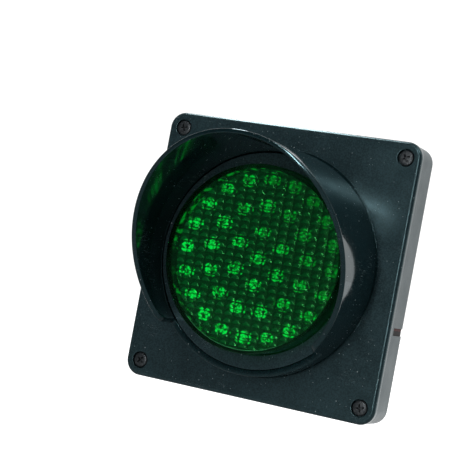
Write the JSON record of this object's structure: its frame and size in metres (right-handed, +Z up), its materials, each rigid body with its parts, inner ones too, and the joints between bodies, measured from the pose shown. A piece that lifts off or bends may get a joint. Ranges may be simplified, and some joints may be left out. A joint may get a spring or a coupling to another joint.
{
  "type": "traffic signal head",
  "caption": "Square single-aspect traffic signal head: flat green lens over an array of LEDs, cut-away cylindrical hood, lift-off front cover held by corner screws.",
  "frame": {"origin": "centre of the rear mounting face of the housing", "axes": "+Z up, -Y out of the lens towards the driver, +X to the right as the driver sees it"},
  "size_m": [0.172, 0.1024, 0.172],
  "materials": {
    "housing_plastic": "black injection-moulded plastic, satin, fine grain",
    "cover_plastic": "black injection-moulded plastic, satin, fine grain",
    "hood_plastic": "black injection-moulded plastic, semi-gloss",
    "green_lens": "green tinted polycarbonate, glossy, pillow grid inside",
    "black_rubber": "black moulded rubber",
    "brown_rubber": "dark brown moulded rubber",
    "red_rubber": "red-brown silicone rubber",
    "board_laminate": "green solder resist on glass-fibre laminate",
    "led_resin": "tinted clear resin",
    "white_plastic": "natural white plastic",
    "grey_plastic": "grey plastic",
    "brown_plastic": "brown plastic",
    "red_plastic": "red epoxy-dipped plastic",
    "black_plastic": "black moulding compound",
    "can_sleeve": "dark blue shrink sleeve",
    "resistor_ceramic": "grey-green cement coating",
    "red_insulation": "red wire insulation",
    "black_insulation": "black wire insulation",
    "black_steel": "black-coated steel, satin",
    "zinc_steel": "bright zinc-plated steel"
  },
  "bodies": {
    "housing": {"rear_housing": "housing_plastic", "housing_gasket": "black_rubber", "cable_grommet": "black_rubber", "side_entry_plug": "brown_rubber", "side_entry_seal": "red_rubber", "led_board": "board_laminate", "led_centre": "led_resin", "led_ring_inner": "led_resin", "led_ring_middle": "led_resin", "led_ring_outer": "led_resin", "board_screw_1": "zinc_steel", "board_screw_2": "zinc_steel", "board_screw_3": "zinc_steel", "board_screw_4": "zinc_steel", "led_board_socket": "white_plastic", "driver_board": "board_laminate", "driver_screw_left": "zinc_steel", "driver_screw_right": "zinc_steel", "terminal_block": "grey_plastic", "fuse": "brown_plastic", "film_capacitor": "red_plastic", "rectifier": "black_plastic", "smoothing_capacitor": "can_sleeve", "dropper_resistor_upper": "resistor_ceramic", "dropper_resistor_lower": "resistor_ceramic", "led_lead_positive": "red_insulation", "led_lead_negative": "black_insulation"},
    "cover": {"front_cover": "cover_plastic", "lens": "green_lens", "lens_gasket": "black_rubber", "lens_retaining_ring": "cover_plastic"},
    "hood": {"hood": "hood_plastic"},
    "screw_top_left": {"cover_screw_top_left": "black_steel"},
    "screw_top_right": {"cover_screw_top_right": "black_steel"},
    "screw_bottom_left": {"cover_screw_bottom_left": "black_steel"},
    "screw_bottom_right": {"cover_screw_bottom_right": "black_steel"},
    "clamp_screw_1": {"terminal_screw_1": "zinc_steel"},
    "clamp_screw_2": {"terminal_screw_2": "zinc_steel"},
    "clamp_screw_3": {"terminal_screw_3": "zinc_steel"}
  },
  "joints": [
    {"name": "cover_lift", "type": "slide", "parent": "housing", "child": "cover", "axis": [0, -1, 0], "range_m": [0, 0.06]},
    {"name": "hood_twist", "type": "hinge", "parent": "cover", "child": "hood", "pos_m": [0, -0.025, 0], "axis": [0, -1, 0], "range_deg": [0, 14]},
    {"name": "cover_screw_top_left_out", "type": "slide", "parent": "cover", "child": "screw_top_left", "axis": [0, -1, 0], "range_m": [0, 0.016]},
    {"name": "cover_screw_top_right_out", "type": "slide", "parent": "cover", "child": "screw_top_right", "axis": [0, -1, 0], "range_m": [0, 0.016]},
    {"name": "cover_screw_bottom_left_out", "type": "slide", "parent": "cover", "child": "screw_bottom_left", "axis": [0, -1, 0], "range_m": [0, 0.016]},
    {"name": "cover_screw_bottom_right_out", "type": "slide", "parent": "cover", "child": "screw_bottom_right", "axis": [0, -1, 0], "range_m": [0, 0.016]},
    {"name": "terminal_screw_1_turn", "type": "hinge", "parent": "housing", "child": "clamp_screw_1", "pos_m": [-0.03308, -0.0179, -0.0675], "axis": [0, -1, 0], "continuous": true},
    {"name": "terminal_screw_2_turn", "type": "hinge", "parent": "housing", "child": "clamp_screw_2", "pos_m": [-0.028, -0.0179, -0.0675], "axis": [0, -1, 0], "continuous": true},
    {"name": "terminal_screw_3_turn", "type": "hinge", "parent": "housing", "child": "clamp_screw_3", "pos_m": [-0.02292, -0.0179, -0.0675], "axis": [0, -1, 0], "continuous": true}
  ]
}
